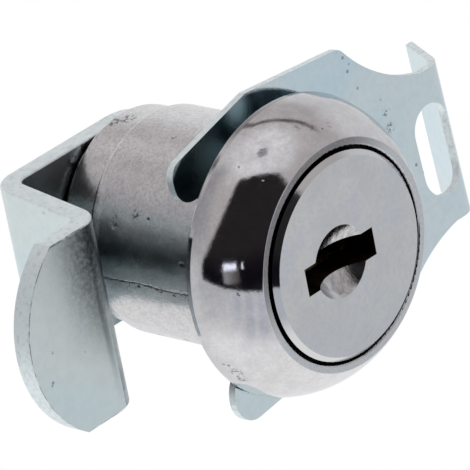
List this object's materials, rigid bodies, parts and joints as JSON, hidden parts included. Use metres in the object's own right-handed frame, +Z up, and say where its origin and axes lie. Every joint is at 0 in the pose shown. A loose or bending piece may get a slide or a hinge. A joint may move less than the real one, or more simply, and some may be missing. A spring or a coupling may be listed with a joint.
{
  "type": "mailbox lock",
  "caption": "Cam lock for a sheet-metal mailbox door: domed round head, turning plug with a key slot, cranked cam, and a forked clip that holds the barrel behind the door.",
  "frame": {"origin": "on the barrel's axis, in the plane of the head's back face, which bears on the door", "axes": "+Y along the barrel from the head towards the cam's back plate; +X along the key slot towards the clip's grip, away from the cam's tongue; +Z up"},
  "size_m": [0.0477, 0.0275, 0.0244],
  "materials": {
    "housing_chrome": "polished plating over zinc casting",
    "plug_satin": "satin",
    "cam_zinc": "blue zinc plate",
    "clip_zinc": "blue zinc plate",
    "wafer_brass": "stamped, dull",
    "spring_steel": "drawn wire",
    "washer_steel": "bright zinc plate",
    "screw_zinc": "bright zinc plate"
  },
  "bodies": {
    "housing": {"housing": "housing_chrome"},
    "plug": {"plug": "plug_satin", "stop_washer": "washer_steel", "cam": "cam_zinc", "lock_washer": "washer_steel", "cam_screw": "screw_zinc", "wafer_spring_1": "spring_steel", "wafer_spring_2": "spring_steel", "wafer_spring_3": "spring_steel", "wafer_spring_4": "spring_steel", "wafer_spring_5": "spring_steel", "wafer_spring_6": "spring_steel", "wafer_spring_7": "spring_steel"},
    "wafer_1": {"wafer_1": "wafer_brass"},
    "wafer_2": {"wafer_2": "wafer_brass"},
    "wafer_3": {"wafer_3": "wafer_brass"},
    "wafer_4": {"wafer_4": "wafer_brass"},
    "wafer_5": {"wafer_5": "wafer_brass"},
    "wafer_6": {"wafer_6": "wafer_brass"},
    "wafer_7": {"wafer_7": "wafer_brass"},
    "fixing_clip": {"fixing_clip": "clip_zinc"}
  },
  "joints": [
    {"name": "plug_turn", "type": "hinge", "parent": "housing", "child": "plug", "pos_m": [0, 0, 0], "axis": [0, 1, 0], "range_deg": [0, 90]},
    {"name": "wafer_1_slide", "type": "slide", "parent": "plug", "child": "wafer_1", "axis": [1, 0, 0], "range_m": [0, 0.0006], "stiffness_N_per_m": 200, "springref_m": 0.002, "deforming": ["wafer_spring_1"]},
    {"name": "wafer_2_slide", "type": "slide", "parent": "plug", "child": "wafer_2", "axis": [1, 0, 0], "range_m": [0, 0.0006], "stiffness_N_per_m": 200, "springref_m": 0.002, "deforming": ["wafer_spring_2"]},
    {"name": "wafer_3_slide", "type": "slide", "parent": "plug", "child": "wafer_3", "axis": [1, 0, 0], "range_m": [0, 0.0006], "stiffness_N_per_m": 200, "springref_m": 0.002, "deforming": ["wafer_spring_3"]},
    {"name": "wafer_4_slide", "type": "slide", "parent": "plug", "child": "wafer_4", "axis": [1, 0, 0], "range_m": [0, 0.0006], "stiffness_N_per_m": 200, "springref_m": 0.002, "deforming": ["wafer_spring_4"]},
    {"name": "wafer_5_slide", "type": "slide", "parent": "plug", "child": "wafer_5", "axis": [1, 0, 0], "range_m": [0, 0.0006], "stiffness_N_per_m": 200, "springref_m": 0.002, "deforming": ["wafer_spring_5"]},
    {"name": "wafer_6_slide", "type": "slide", "parent": "plug", "child": "wafer_6", "axis": [1, 0, 0], "range_m": [0, 0.0006], "stiffness_N_per_m": 200, "springref_m": 0.002, "deforming": ["wafer_spring_6"]},
    {"name": "wafer_7_slide", "type": "slide", "parent": "plug", "child": "wafer_7", "axis": [1, 0, 0], "range_m": [0, 0.0006], "stiffness_N_per_m": 200, "springref_m": 0.002, "deforming": ["wafer_spring_7"]},
    {"name": "clip_slide", "type": "slide", "parent": "housing", "child": "fixing_clip", "axis": [1, 0, 0], "range_m": [0, 0.024]}
  ]
}
